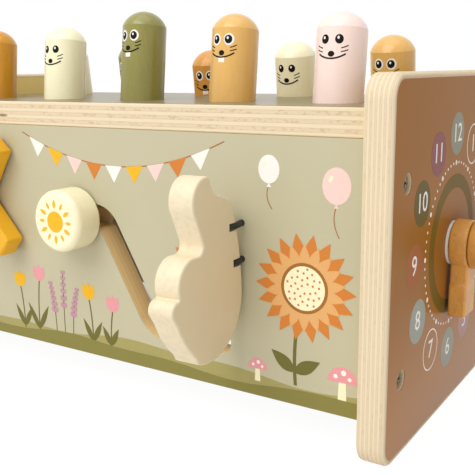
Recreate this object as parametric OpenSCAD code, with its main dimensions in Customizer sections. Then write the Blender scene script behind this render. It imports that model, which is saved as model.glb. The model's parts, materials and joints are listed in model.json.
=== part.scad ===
// Toddler's pounding bench: a plywood box with see-saw pegs in its top board, a play wall
// in front and a clock on one end. Millimetres. +X runs to the clock end, +Y to the back
// and +Z up. The origin is the middle of the clock end panel's foot, on the floor.

/* [Box] */
// Clear length between the two end panels
inner_length = 280; // [270:1:330]
// Thickness of the end panels
end_t = 12; // [10:0.5:16]
// Depth of the end panels, front to back
end_depth = 154; // [150:1:180]
// Height of the end panels
end_height = 156; // [150:1:180]
// Corner radius of the end panels
end_corner_r = 10; // [4:1:18]
// Thickness of the front and back walls
wall_t = 12; // [10:0.5:13]
// How far the walls stand in from the end panels' edges
wall_inset = 11; // [7:0.5:12]
// Height of the gap under the walls
wall_lift = 15; // [8:1:20]
// Thickness of the top board
board_t = 12; // [10:0.5:14]
// Height of the top board's upper face
board_top = 143; // [140:1:147]

/* [Box fasteners] */
// Height of the lower end screws
screw_low = 34; // [28:1:40]
// Height of the upper end screws
screw_high = 114; // [100:1:118]
// Shank diameter of the end screws
screw_d = 4; // [3:0.1:5]
// Head diameter of the end screws
screw_head_d = 8; // [7:0.1:9]
// Length of the end screws' shanks
screw_length = 34; // [24:1:40]
// Depth of the recess that each screw head lies in
screw_recess = 4.5; // [4:0.1:6]
// Diameter of the dowels between the walls and the top board
dowel_d = 6; // [5:0.5:8]
// Length of those dowels
dowel_length = 18; // [14:1:18]

/* [Pegs] */
// Diameter of a peg
peg_d = 22; // [20:0.5:24]
// Distance between neighbouring columns of pegs
peg_pitch = 54.5; // [48:0.5:58]
// Distance of each row from the face of the wall beside it, at the middle of the board
row_in = 33; // [33:0.5:36]
// Lean of each peg towards the other row, in degrees
peg_lean = 6.5; // [4:0.5:8]
// Length of peg above the board when its see-saw is level
peg_show = 34.5; // [30:0.5:50]
// Length of peg below the board when its see-saw is level
peg_below = 30; // [28:1:34]
// Height of the domed top of a peg
peg_dome = 7.6; // [6:0.1:10]
// Radial play of a peg in the board
peg_play = 0.4; // [0.3:0.05:0.8]
// Rise of the front peg in column 1, the far left
rise_1 = 3.5; // [-9:0.5:10]
// Rise of the front peg in column 2
rise_2 = 3.5; // [-9:0.5:10]
// Rise of the front peg in column 3
rise_3 = 9; // [-9:0.5:10]
// Rise of the front peg in column 4
rise_4 = 5.5; // [-9:0.5:10]
// Rise of the front peg in column 5, next to the clock
rise_5 = 4; // [-9:0.5:10]

/* [See-saws] */
// Thickness of a rocker
rocker_t = 9; // [7:0.5:10]
// Height of a rocker's arm
rocker_h = 12.5; // [11:0.5:13]
// Diameter of a rocker's hub
rocker_hub_d = 20; // [16:0.5:22]
// Diameter of the rod that the rockers turn on
axle_d = 8; // [6:0.5:9]
// Depth of the rod's seats in the end panels
axle_seat = 8; // [6:0.5:9]
// Outer diameter of the tubes that space the rockers
spacer_d = 14; // [12:0.5:16]
// Diameter of the pin that joins a peg to its rocker
pin_d = 5; // [4:0.5:5.5]
// Height of the pin above the peg's lower end
pin_up = 8; // [7:0.5:9]
// Height of the fork cut into a peg's lower end
fork_h = 21; // [20:0.5:23]

/* [Windmill] */
// Distance of the windmill's axis from the middle of the front wall, to the left
windmill_left = 88; // [80:1:92]
// Height of the windmill's axis
windmill_z = 92; // [80:0.5:92]
// Length of a sail from the axis
sail_length = 38.5; // [28:0.5:39]
// Width of a sail at its tip
sail_tip_w = 12; // [8:0.5:16]
// Taper of each side of a sail, in degrees
sail_taper = 7.5; // [4:0.5:12]
// Thickness of the windmill
sail_t = 11; // [8:0.5:14]
// Turn of the first sail from the wall's long edge, in degrees
sail_turn = 50; // [0:1:90]

/* [Slider] */
// Width of the slot in the front wall
slot_w = 12; // [11:0.1:12.5]
// Place of the upper bend's centre, left of the middle of the wall
slot_left = 4.2; // [3:0.1:6]
// Height of the upper bend's centre
slot_z = 78.6; // [77:0.1:80]
// Radius of the slot's upper bend
slot_bend_r = 9.4; // [8.5:0.1:11]
// Slope of the slot's long run, in degrees
slot_slope = 60.5; // [55:0.5:62]
// Length of the slot's long run
slot_run = 46; // [36:0.5:48]
// Radius of the slot's lower bend
slot_low_r = 12; // [10:0.5:14]
// Length of the slot's lower level run
slot_level = 31; // [15:0.5:34]
// Place of the knob at rest, left of the middle of the wall
knob_left = 15.7; // [14:0.1:17]
// Height of the knob at rest
knob_z = 86.7; // [86:0.1:88]
// Diameter of the sleeve that runs in the slot
sleeve_d = 8; // [7:0.1:9]
// Diameter of the knob
knob_d = 30.5; // [28:0.5:34]
// Thickness of the knob
knob_t = 15.5; // [10:0.5:16]
// Rounding of the knob's front edge
knob_round = 3.2; // [1.5:0.1:4.5]
// Diameter of the disc that holds the knob in, behind the wall
retainer_d = 20; // [16:0.5:22]
// Thickness of that disc
retainer_t = 2.4; // [2.2:0.1:2.6]
// Diameter of the knob's screw
knob_screw_d = 4; // [3:0.1:5]

/* [Flap] */
// Distance of the flap's hinge line from the middle of the front wall, to the right
flap_right = 80.5; // [78:0.5:84]
// Thickness of the flap
flap_t = 12; // [8:0.5:13]
// How far the flap stands open, in degrees
flap_open = 88; // [60:1:98]
// Height of the middle of the flap's round belly
flap_belly_z = 64; // [60:0.5:68]
// Radius of the flap's round belly
flap_belly_r = 25; // [23:0.5:25]
// Diameter of the hinge cords
cord_d = 2.8; // [2:0.1:3.2]

/* [Clock] */
// Height of the clock's axis
clock_z = 79.5; // [70:0.5:84]
// Thickness of each hand
hand_t = 8; // [6:0.5:10]
// Diameter of the hands' hubs
hand_hub_d = 22; // [18:0.5:26]
// Reach of the hour hand
hour_reach = 33; // [28:0.5:38]
// Reach of the minute hand
minute_reach = 44; // [39:0.5:50]
// Diameter of the dowels that the hands and the windmill turn on
pivot_d = 8; // [6:0.5:9]
// Diameter of those dowels' round heads
pivot_head_d = 17; // [14:0.5:20]

/* [Hidden] */
$fn = 64;

// Clearances
fit = 0.05;        // radial gap of a piece that is glued or driven in
running = 0.1;     // radial gap of a piece that turns on a rod
side_gap = 0.3;    // gap beside a turning or sliding piece
over = 1;          // overshoot of a cut past the face it opens

// Box
half_length = inner_length / 2;
end_face = half_length + end_t;
wall_face = end_depth / 2 - wall_inset;
wall_back = wall_face - wall_t;
row_spacing = 2 * (wall_face - row_in);
wall_mid = wall_face - wall_t / 2;
board_low = board_top - board_t;
board_mid = board_top - board_t / 2;
dowel_x = [-peg_pitch * 1.5, -peg_pitch / 2, peg_pitch / 2, peg_pitch * 1.5];
screw_z = [screw_low, screw_high];
screw_head_t = 3;

// Pegs and see-saws: the pin of a level peg is level with the rocker's axis.
columns = 5;
rises = [rise_1, rise_2, rise_3, rise_4, rise_5];
pin_drop = board_t / 2 + peg_below - pin_up;
arm = row_spacing / 2 + pin_drop * sin(peg_lean);
axle_z = board_mid - pin_drop * cos(peg_lean);
peg_travel = 11.5;                                    // each way from level
rise_per_rad = arm / cos(peg_lean);
rocker_swing = peg_travel / rise_per_rad;             // radians each way from level
// A leaning peg's pin wanders in its rocker: along the arm and, a little, across it.
pin_drift_in = arm - sin(peg_lean) * sin(peg_lean) * arm / 2;
pin_drift_out = arm * (1 + tan(peg_lean) * rocker_swing + rocker_swing * rocker_swing / 2);
pin_lift = arm * (tan(peg_lean) * rocker_swing ^ 2 + rocker_swing ^ 3 / 3);
arm_slot_r = pin_d / 2 + pin_lift / 2 + side_gap;

// Windmill
pivot_r = pivot_d / 2;
pivot_seat = 9;
pivot_head_t = 4.5;
washer_t = 1.2;
washer_d = pivot_head_d + 3;
sails = 4;

// Slider: the knob rests at the left end of the slot's short upper run.
slot_turn = 90 - slot_slope;
bend_end = [-slot_left, slot_z] + slot_bend_r * [cos(slot_turn), sin(slot_turn)];
run_end = bend_end + slot_run * [sin(slot_turn), -cos(slot_turn)];
low_centre = run_end + slot_low_r * [cos(slot_turn), sin(slot_turn)];
slot_floor = low_centre[1] - slot_low_r;
slot_roof = slot_z + slot_bend_r;
knob_at = [-knob_left, knob_z];
wall_gap = 0.4;
knob_screw_bite = 8;
screw_cone = 1.8;
screw_flare = 1.5;

// Flap: it is laid out closed, a from its hinge line, z up, and then swung open.
hinge_out = 2;                       // hinge line's distance in front of the wall
flap_seat = hinge_out - 0.5;         // closed, the flap stays half a millimetre off the wall
flap_edge = 0.5;                     // closest that the flap's outline comes to the hinge line
belly_a = flap_belly_r + flap_edge;
flap_unit = flap_belly_r / 25;       // scale of the outline's other sizes
cord_z = [flap_belly_z + 29 * flap_unit, flap_belly_z + 13 * flap_unit];
cord_reach = [10.5, 7.5] * flap_unit; // how far each cord runs out along the open flap
cord_seat = 8;                       // depth of the cords' ends in the wall

// Clock
hour_at = end_face + washer_t + side_gap;
minute_at = hour_at + hand_t + side_gap;
clock_head_at = minute_at + hand_t + side_gap;

function column_x(i) = (i - (columns + 1) / 2) * peg_pitch;
function rocker_angle(i) = rises[i - 1] / rise_per_rad * 180 / PI;

// Shared shapes

module x_rod(x0, x1, r) {
    translate([x0, 0, 0]) rotate([0, 90, 0]) cylinder(h = x1 - x0, r = r);
}

module y_rod(y0, y1, r) {
    translate([0, y1, 0]) rotate([90, 0, 0]) cylinder(h = y1 - y0, r = r);
}

// Round-cornered plate outline that stands on its lower edge.
module plate_2d(w, h, r) {
    translate([-w / 2 + r, 0]) square([w - 2 * r, h]);
    translate([-w / 2, r]) square([w, h - 2 * r]);
    for (x = [-1, 1], y = [r, h - r]) translate([x * (w / 2 - r), y]) circle(r);
}

// Cap of a sphere on a disc of radius r.
module dome(r, h) {
    ball = (r * r + h * h) / (2 * h);
    intersection() {
        cylinder(h = h + over, r = r);
        translate([0, 0, h - ball]) sphere(ball, $fn = 96);
    }
}

// Everything in a panel's own (Y, Z) plane, pushed along +X.
module along_x(x0, t) {
    translate([x0, 0, 0]) rotate([90, 0, 90]) linear_extrude(t) children();
}

// Everything in a wall's own (X, Z) plane, from y0 forwards by t.
module along_y(y0, t) {
    translate([0, y0, 0]) rotate([90, 0, 0]) linear_extrude(t) children();
}

// Frame of a peg: z along the peg, 0 at the middle of the board. side is -1 in front, 1 behind.
module peg_frame(side, i) {
    translate([column_x(i), side * row_spacing / 2, board_mid]) rotate([side * peg_lean, 0, 0])
        children();
}

// Round-headed pivot along z: the seat is below 0 and the head starts at z = head_at.
module pivot(head_at) {
    translate([0, 0, -pivot_seat]) cylinder(h = pivot_seat + head_at + fit, r = pivot_r);
    translate([0, 0, head_at]) cylinder(h = pivot_head_t / 2, r = pivot_head_d / 2);
    translate([0, 0, head_at + pivot_head_t / 2]) dome(pivot_head_d / 2, pivot_head_t / 2);
}

// Box

module end_panel(x0) {
    out = sign(x0 + end_t / 2);
    seat_face = out * half_length;
    screw_face = out * end_face;
    difference() {
        along_x(x0, end_t) plate_2d(end_depth, end_height, end_corner_r);
        for (y = [-wall_mid, wall_mid], z = screw_z) translate([0, y, z]) {
            x_rod(x0 - over, x0 + end_t + over, screw_d / 2 + running);
            x_rod(min(screw_face - out * screw_recess, screw_face + out * over),
                max(screw_face - out * screw_recess, screw_face + out * over),
                screw_head_d / 2 + side_gap);
        }
        translate([0, 0, axle_z])
            x_rod(min(seat_face - out * over, seat_face + out * axle_seat),
                max(seat_face - out * over, seat_face + out * axle_seat), axle_d / 2 + fit);
    }
}

module right_end_panel() {
    color("burlywood") difference() {
        end_panel(half_length);
        translate([0, 0, clock_z]) x_rod(end_face - pivot_seat - fit, end_face + over, pivot_r + fit);
    }
}

module left_end_panel() {
    color("burlywood") end_panel(-end_face);
}

// A wall with its screw pilots and dowel holes; y0 is the wall's forward face.
module wall_blank(y0) {
    y_mid = y0 + wall_t / 2;
    difference() {
        translate([-half_length, y0, wall_lift]) cube([inner_length, wall_t, board_low - wall_lift]);
        for (x = [-1, 1], z = screw_z) translate([0, y_mid, z]) {
            reach = end_t - screw_recess + screw_head_t - screw_length;
            x_rod(min(x * (half_length + reach - fit), x * (half_length + over)),
                max(x * (half_length + reach - fit), x * (half_length + over)), screw_d / 2 + fit);
        }
        for (x = dowel_x) translate([x, y_mid, board_low - dowel_length / 2 - fit])
            cylinder(h = dowel_length, r = dowel_d / 2 + fit);
    }
}

// Points along an arc, its two ends included.
function arc(centre, r, from, to, steps = 18) =
    [for (k = [0 : steps]) let (a = from + (to - from) * k / steps) centre + r * [cos(a), sin(a)]];

// The slot: a short level run, a bend, a long slope, a bend at the foot and a level run.
module slot_2d() {
    half = slot_w / 2;
    bend_centre = [-slot_left, slot_z];
    polygon(concat(
        arc(bend_centre, slot_bend_r - half, 90, slot_turn),
        arc(low_centre, slot_low_r + half, 180 + slot_turn, 270),
        arc([low_centre[0] + slot_level, slot_floor], half, -90, 90),
        arc(low_centre, slot_low_r - half, 270, 180 + slot_turn),
        arc(bend_centre, slot_bend_r + half, slot_turn, 90),
        arc([-knob_left, slot_roof], half, 90, 270)));
}

// Frame of the open flap: x runs from the hinge line along the flap, y towards its inner face's side.
module flap_frame() {
    translate([flap_right, -wall_face - hinge_out, 0]) rotate(-flap_open) children();
}

// Frame of each hinge cord, on the hinge line; i is 0 for the upper one.
module cord_frame(i) {
    translate([flap_right, -wall_face - hinge_out, cord_z[i]]) children();
}

// A hinge cord: it runs from the hinge line along the open flap, and to the given depth into the wall.
module cord_run(i, depth, r) {
    cord_frame(i) y_rod(-cord_reach[i], hinge_out + depth, r);
}

module front_wall() {
    color("darkkhaki") difference() {
        wall_blank(-wall_face);
        along_y(-wall_back + over, wall_t + 2 * over) slot_2d();
        translate([-windmill_left, 0, windmill_z])
            y_rod(-wall_face - over, -wall_face + pivot_seat + fit, pivot_r + fit);
        for (i = [0, 1]) cord_run(i, cord_seat + fit, cord_d / 2 + fit);
    }
}

module back_wall() {
    color("darkkhaki") wall_blank(wall_back);
}

module top_board() {
    color("wheat") difference() {
        translate([-half_length, -wall_face, board_low]) cube([inner_length, 2 * wall_face, board_t]);
        for (side = [-1, 1], i = [1 : columns]) peg_frame(side, i)
            translate([0, 0, -board_t]) cylinder(h = 2 * board_t, r = peg_d / 2 + peg_play);
        for (y = [-wall_mid, wall_mid], x = dowel_x) translate([x, y, board_low - over])
            cylinder(h = over + dowel_length / 2 + fit, r = dowel_d / 2 + fit);
    }
}

module board_dowels() {
    color("tan") for (y = [-wall_mid, wall_mid], x = dowel_x)
        translate([x, y, board_low - dowel_length / 2]) cylinder(h = dowel_length, r = dowel_d / 2);
}

// Four cross-head screws, with their heads on the floor of their recesses. out is 1 or -1 along X.
module end_screws(out) {
    color("silver") for (y = [-wall_mid, wall_mid], z = screw_z)
        translate([out * (end_face - screw_recess), y, z]) rotate([0, out * 90, 0]) {
            difference() {
                cylinder(h = screw_head_t, r1 = screw_head_d / 2, r2 = screw_head_d / 2 - 0.6);
                for (turn = [0, 90]) rotate(turn) translate([-2.2, -0.5, screw_head_t - 1.4])
                    cube([4.4, 1, 2]);
            }
            translate([0, 0, screw_head_t - screw_length])
                cylinder(h = screw_length - screw_head_t, r = screw_d / 2);
        }
}

module right_end_screws() {
    end_screws(1);
}

module left_end_screws() {
    end_screws(-1);
}

// See-saws

module rocker_axle() {
    color("silver") translate([0, 0, axle_z])
        x_rod(-half_length - axle_seat + fit, half_length + axle_seat - fit, axle_d / 2);
}

// Tubes that keep the rockers under their pegs.
module rocker_spacers() {
    rocker_side = rocker_t / 2 + side_gap;
    color("tan") translate([0, 0, axle_z]) difference() {
        union() {
            for (i = [1 : columns - 1])
                x_rod(column_x(i) + rocker_side, column_x(i + 1) - rocker_side, spacer_d / 2);
            x_rod(-half_length, column_x(1) - rocker_side, spacer_d / 2);
            x_rod(column_x(columns) + rocker_side, half_length, spacer_d / 2);
        }
        x_rod(-half_length - over, half_length + over, axle_d / 2 + fit);
    }
}

// A lever on the rod, with a slot for a peg's pin at each end.
module rocker(i) {
    color("peru") translate([column_x(i) - rocker_t / 2, 0, axle_z]) rotate([-rocker_angle(i), 0, 0])
        along_x(0, rocker_t) difference() {
            union() {
                circle(rocker_hub_d / 2);
                translate([-pin_drift_out, -rocker_h / 2]) square([2 * pin_drift_out, rocker_h]);
                for (side = [-1, 1]) translate([side * pin_drift_out, 0]) circle(rocker_h / 2);
            }
            circle(axle_d / 2 + running);
            for (side = [-1, 1]) translate([side * (pin_drift_in + pin_drift_out) / 2, pin_lift / 2])
                pin_slot_2d();
        }
}

module pin_slot_2d() {
    half = (pin_drift_out - pin_drift_in) / 2;
    translate([-half, -arm_slot_r]) square([2 * half, 2 * arm_slot_r]);
    for (x = [-half, half]) translate([x, 0]) circle(arm_slot_r);
}

// Lower end of a peg, measured along it from the middle of the board.
function peg_foot(side, i) = -board_t / 2 - peg_below - side * rises[i - 1];

module peg(side, i) {
    length = peg_below + board_t + peg_show;
    peg_frame(side, i) translate([0, 0, peg_foot(side, i)]) difference() {
        union() {
            cylinder(h = length - peg_dome, r = peg_d / 2);
            translate([0, 0, length - peg_dome]) dome(peg_d / 2, peg_dome);
        }
        translate([-rocker_t / 2 - side_gap, -peg_d, -over])
            cube([rocker_t + 2 * side_gap, 2 * peg_d, fork_h + over]);
        translate([0, 0, pin_up]) x_rod(-peg_d, peg_d, pin_d / 2 + fit);
    }
}

module peg_pin(side, i) {
    inset = 1.5;
    color("tan") peg_frame(side, i) translate([0, 0, peg_foot(side, i) + pin_up])
        x_rod(-peg_d / 2 + inset, peg_d / 2 - inset, pin_d / 2);
}

// Front wall pieces

module windmill_axis() {
    translate([-windmill_left, -wall_face, windmill_z]) rotate([90, 0, 0]) children();
}

module windmill() {
    root_w = sail_tip_w + 2 * sail_length * tan(sail_taper);
    color("goldenrod") windmill_axis() translate([0, 0, washer_t + side_gap])
        linear_extrude(sail_t) difference() {
            union() {
                for (k = [0 : sails - 1]) rotate(sail_turn + k * 360 / sails)
                    polygon([[0, -root_w / 2], [sail_length, -sail_tip_w / 2],
                        [sail_length, sail_tip_w / 2], [0, root_w / 2]]);
                circle(root_w / 2);
            }
            circle(pivot_r + running);
        }
}

module windmill_pivot() {
    color("burlywood") windmill_axis() pivot(washer_t + sail_t + 2 * side_gap);
}

module windmill_washer() {
    color("white") windmill_axis() difference() {
        cylinder(h = washer_t, r = washer_d / 2);
        translate([0, 0, -over]) cylinder(h = washer_t + 2 * over, r = pivot_r + fit);
    }
}

// Frame of the knob: z runs from the wall's front face towards the user.
module knob_axis() {
    translate([knob_at[0], -wall_face, knob_at[1]]) rotate([90, 0, 0]) children();
}

module slider_knob() {
    back_round = 1.2;
    r = knob_d / 2;
    color("cornsilk") knob_axis() translate([0, 0, wall_gap + side_gap]) difference() {
        rotate_extrude($fn = 96) {
            square([r - knob_round, knob_t]);
            translate([0, back_round]) square([r, knob_t - back_round - knob_round]);
            translate([0, 0]) square([r - back_round, back_round]);
            translate([r - back_round, back_round]) circle(back_round);
            translate([r - knob_round, knob_t - knob_round]) circle(knob_round);
        }
        translate([0, 0, -over]) cylinder(h = over + knob_screw_bite + fit, r = knob_screw_d / 2 + fit);
    }
}

module slider_screw() {
    head_z = -wall_t - wall_gap - retainer_t;
    tip_z = wall_gap + side_gap + knob_screw_bite;
    color("silver") knob_axis() translate([0, 0, head_z]) {
        cylinder(h = screw_cone, r1 = knob_screw_d / 2 + screw_flare, r2 = knob_screw_d / 2);
        cylinder(h = tip_z - head_z, r = knob_screw_d / 2);
    }
}

module slider_sleeve() {
    color("tan") knob_axis() translate([0, 0, -wall_t - wall_gap]) difference() {
        cylinder(h = wall_t + 2 * wall_gap, r = sleeve_d / 2);
        translate([0, 0, -over]) cylinder(h = wall_t + 4 * over, r = knob_screw_d / 2 + running);
    }
}

module slider_retainer() {
    color("tan") knob_axis() translate([0, 0, -wall_t - wall_gap - retainer_t]) difference() {
        cylinder(h = retainer_t, r = retainer_d / 2);
        translate([0, 0, -over]) cylinder(h = retainer_t + 2 * over, r = knob_screw_d / 2 + running);
        cylinder(h = screw_cone + running, r1 = knob_screw_d / 2 + screw_flare + running,
            r2 = knob_screw_d / 2 + running);
    }
}

// Scalloped outline, closed, about the middle of its belly: the belly, its flatter free side, two
// lobes with a notch between them, the neck, the head, a hollow, the hinge corner and the hinge side.
module flap_2d() {
    translate([belly_a, flap_belly_z]) scale(flap_unit) polygon(concat(
        arc([0, 0], 25, 173, 294),
        arc([-21.8, 17.2], 50, 312, 336, 9),
        arc([23.2, 3], 4.1, -20, 100, 12),
        arc([12.2, 11.6], 10.4, -22, 102),
        arc([8.8, 25.4], 3.8, 252, 156, 8),
        arc([2, 42.8], 9.9, -34, 104),
        arc([-9.5, 52.5], 8.8, -18, -84, 8),
        arc([-14, 38.2], 3.2, 102, 166, 8),
        arc([92.5, -3.9], 117.7, 159.5, 176, 8)));
}

// Flap, with a slot for each cord that is round about the hinge line, so that it swings clear.
module flap() {
    color("cornsilk") difference() {
        flap_frame() along_y(flap_seat, flap_t) flap_2d();
        for (i = [0, 1]) cord_frame(i)
            cylinder(h = cord_d + 2 * side_gap, r = norm([cord_reach[i], cord_d / 2]) + side_gap, center = true);
    }
}

module hinge_cords() {
    color("black") for (i = [0, 1]) cord_run(i, cord_seat, cord_d / 2);
}

// Clock

// A hand with a round hub, a neck and a wider block at its end, pointing along +y.
module hand_2d(reach) {
    neck_w = hand_hub_d * 0.57;
    block_w = hand_hub_d * 0.66;
    block_h = hand_hub_d * 0.73;
    chamfer = 1.2;
    difference() {
        union() {
            circle(hand_hub_d / 2);
            translate([-neck_w / 2, 0]) square([neck_w, reach - block_h + 1]);
            polygon([[-block_w / 2, reach - block_h + chamfer], [-block_w / 2 + chamfer, reach - block_h],
                [block_w / 2 - chamfer, reach - block_h], [block_w / 2, reach - block_h + chamfer],
                [block_w / 2, reach], [-block_w / 2, reach]]);
        }
        circle(pivot_r + running);
    }
}

module hour_hand() {
    color("peru") translate([0, 0, clock_z]) along_x(hour_at, hand_t) rotate(180) hand_2d(hour_reach);
}

module minute_hand() {
    color("peru") translate([0, 0, clock_z]) along_x(minute_at, hand_t) rotate(-90) hand_2d(minute_reach);
}

module clock_washer() {
    color("white") translate([0, 0, clock_z]) difference() {
        x_rod(end_face, end_face + washer_t, washer_d / 2);
        x_rod(end_face - over, end_face + washer_t + over, pivot_r + fit);
    }
}

module clock_pivot() {
    color("burlywood") translate([end_face, 0, clock_z]) rotate([0, 90, 0])
        pivot(clock_head_at - end_face);
}

// Colours of the pegs by column, front row and back row.
front_colours = ["goldenrod", "cornsilk", "darkkhaki", "burlywood", "mistyrose"];
back_colours = ["cornsilk", "darkkhaki", "peru", "cornsilk", "tan"];

// Moves a piece from the middle of the box to the frame of the clock end's foot.
module placed() {
    translate([-half_length - end_t / 2, 0, 0]) children();
}

placed() right_end_panel();
placed() left_end_panel();
placed() front_wall();
placed() back_wall();
placed() top_board();
placed() board_dowels();
placed() right_end_screws();
placed() left_end_screws();
placed() rocker_axle();
placed() rocker_spacers();
for (i = [1 : columns]) {
    placed() rocker(i);
    placed() color(front_colours[i - 1]) peg(-1, i);
    placed() color(back_colours[i - 1]) peg(1, i);
    placed() peg_pin(-1, i);
    placed() peg_pin(1, i);
}
placed() windmill();
placed() windmill_pivot();
placed() windmill_washer();
placed() slider_knob();
placed() slider_screw();
placed() slider_sleeve();
placed() slider_retainer();
placed() flap();
placed() hinge_cords();
placed() clock_washer();
placed() hour_hand();
placed() minute_hand();
placed() clock_pivot();
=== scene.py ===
"""Look of the pounding bench: plywood, paint, printed front, clock dial and peg faces."""
import json
import math

import bmesh
import bpy
from mathutils import Euler, Matrix, Vector


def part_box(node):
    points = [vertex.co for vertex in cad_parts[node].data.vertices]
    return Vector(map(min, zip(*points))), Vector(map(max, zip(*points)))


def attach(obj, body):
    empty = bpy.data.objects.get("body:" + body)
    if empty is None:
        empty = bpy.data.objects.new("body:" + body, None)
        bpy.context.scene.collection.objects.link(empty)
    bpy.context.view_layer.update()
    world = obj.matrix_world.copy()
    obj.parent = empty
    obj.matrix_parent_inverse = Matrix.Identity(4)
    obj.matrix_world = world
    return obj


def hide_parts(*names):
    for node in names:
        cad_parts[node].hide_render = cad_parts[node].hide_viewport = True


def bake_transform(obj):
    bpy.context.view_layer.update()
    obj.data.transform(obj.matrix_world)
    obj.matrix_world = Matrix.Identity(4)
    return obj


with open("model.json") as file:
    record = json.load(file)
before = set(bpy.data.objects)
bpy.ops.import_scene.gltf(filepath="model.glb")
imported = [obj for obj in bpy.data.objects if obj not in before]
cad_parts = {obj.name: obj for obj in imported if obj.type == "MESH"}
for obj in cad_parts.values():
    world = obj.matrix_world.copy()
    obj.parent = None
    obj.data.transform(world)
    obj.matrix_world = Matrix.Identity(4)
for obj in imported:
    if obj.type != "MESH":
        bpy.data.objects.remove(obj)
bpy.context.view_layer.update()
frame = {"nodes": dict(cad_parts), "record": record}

MM = 0.001
SINK = 0.02 * MM      # how far a print's underside lies below the surface that it is on
INK = 0.04 * MM       # height of the lowest print above that surface
LAYER = 0.02 * MM     # extra height of each print laid over another


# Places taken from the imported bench

def corner_pair(node):
    low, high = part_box(node)
    return Vector(low), Vector(high)


WALL_LOW, WALL_HIGH = corner_pair("front_wall")
END_LOW, END_HIGH = corner_pair("right_end_panel")
FAR_LOW, FAR_HIGH = corner_pair("left_end_panel")
BOARD_LOW, BOARD_HIGH = corner_pair("top_board")
BACK_LOW, BACK_HIGH = corner_pair("back_wall")
MIDDLE = (WALL_LOW.x + WALL_HIGH.x) / 2
END_CORNER = 10 * MM
JOINTS = {joint["name"]: joint for joint in frame["record"]["behaviour"]["joints"]}


# Shader writing

NOISE_ROUGHNESS = 0.55    # share of each finer octave


def srgb(red, green, blue):
    """Linear colour of an 8-bit sRGB one."""
    def linear(value):
        value /= 255
        return value / 12.92 if value <= 0.04045 else ((value + 0.055) / 1.055) ** 2.4
    return (linear(red), linear(green), linear(blue), 1.0)


def toned(tone, share):
    """A colour made darker, or lighter where the share is over 1."""
    return tuple(part * share for part in tone[:3]) + (1.0,)


class Value:
    """A shader socket that adds a Math node for each operation on it."""

    def __init__(self, finish, socket):
        self.finish, self.socket = finish, socket

    def math(self, operation, *others):
        inputs = dict(enumerate((self, *others)))
        return self.finish.node("ShaderNodeMath", {"operation": operation}, inputs)

    def __rsub__(self, other):
        return self.finish.node("ShaderNodeMath", {"operation": "SUBTRACT"}, {0: other, 1: self})

    def __add__(self, other): return self.math("ADD", other)
    def __sub__(self, other): return self.math("SUBTRACT", other)
    def __mul__(self, other): return self.math("MULTIPLY", other)
    def __truediv__(self, other): return self.math("DIVIDE", other)
    def __gt__(self, other): return self.math("GREATER_THAN", other)
    def __lt__(self, other): return self.math("LESS_THAN", other)

    def abs(self): return self.math("ABSOLUTE")
    def max(self, other): return self.math("MAXIMUM", other)
    def min(self, other): return self.math("MINIMUM", other)
    def root(self): return self.math("SQRT")
    def part(self): return self.math("FRACT")
    def sine(self): return self.math("SINE")

    def step(self, low, high):
        """0 at low, 1 at high, smooth between."""
        settings = {"interpolation_type": "SMOOTHSTEP"}
        return self.finish.node("ShaderNodeMapRange", settings, {0: self, 1: low, 2: high})


class Finish:
    """A material with one Principled shader, written as expressions."""

    def __init__(self, name, roughness=0.5, coat=0.0, coat_roughness=0.2, metallic=0.0, specular=0.5):
        self.material = bpy.data.materials.new(name)
        self.material.use_nodes = True
        self.tree = self.material.node_tree
        self.shader = self.tree.nodes["Principled BSDF"]
        self.shader.inputs["Roughness"].default_value = roughness
        self.shader.inputs["Metallic"].default_value = metallic
        self.shader.inputs["Specular IOR Level"].default_value = specular
        self.shader.inputs["Coat Weight"].default_value = coat
        self.shader.inputs["Coat Roughness"].default_value = coat_roughness

    def node(self, kind, settings=None, inputs=None, output=0):
        made = self.tree.nodes.new(kind)
        for key, value in (settings or {}).items():
            setattr(made, key, value)
        for key, value in (inputs or {}).items():
            self.feed(made.inputs[key], value)
        return Value(self, made.outputs[output])

    def feed(self, socket, value):
        if isinstance(value, Value):
            self.tree.links.new(value.socket, socket)
        else:
            socket.default_value = value

    def place(self):
        return self.node("ShaderNodeTexCoord", output="Object")

    def xyz(self, vector=None):
        split = self.node("ShaderNodeSeparateXYZ", inputs={0: vector or self.place()})
        return [Value(self, socket) for socket in split.socket.node.outputs]

    def mix(self, factor, first, second):
        return self.node("ShaderNodeMix", {"data_type": "RGBA"}, {0: factor, 6: first, 7: second}, 2)

    def noise(self, scale, stretch=(1, 1, 1), detail=3.0):
        """Noise with features of about 1/scale metres, drawn out by stretch."""
        spread = tuple(scale / part for part in stretch)
        where = self.node("ShaderNodeMapping", inputs={"Vector": self.place(), "Scale": spread})
        inputs = {"Vector": where, "Scale": 1.0, "Detail": detail, "Roughness": NOISE_ROUGHNESS}
        return self.node("ShaderNodeTexNoise", {"noise_dimensions": "3D"}, inputs)

    def cloud(self, scale):
        """Soft patches of 0 and 1."""
        return self.noise(scale, detail=2.0).step(0.3, 0.7)

    def bump(self, height, strength, distance):
        inputs = {"Strength": strength, "Distance": distance, "Height": height}
        normal = self.node("ShaderNodeBump", inputs=inputs)
        self.feed(self.shader.inputs["Normal"], normal)

    def colour(self, value):
        self.feed(self.shader.inputs["Base Color"], value)

    def roughness(self, value):
        self.feed(self.shader.inputs["Roughness"], value)


# Wood and paint

PLY_PALE = srgb(236, 221, 190)
PLY_MID = srgb(227, 208, 177)
PLY_ROUGH = srgb(210, 187, 159)
PLY_LINE = srgb(200, 169, 135)
# Warm tint on the walls' edges, the slot's sides among them: painted warm bounce light
WARM_BOUNCE_TINT = srgb(255, 218, 138)
PLY_SWAY = 0.24       # how far the glue lines wander, as a share of a ply
BRAID_STRANDS = 8.0   # strands of a cord's cover around it, each way
BRAID_RISE = 900.0    # and along it, in each metre
FLAP_TURN = math.radians(2)    # how far off square the flap stands out from the wall


def long_way(axis, length=28.0):
    """Stretch of wood grain that runs along an axis."""
    return tuple(length if k == axis else 1.0 for k in range(3))


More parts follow.
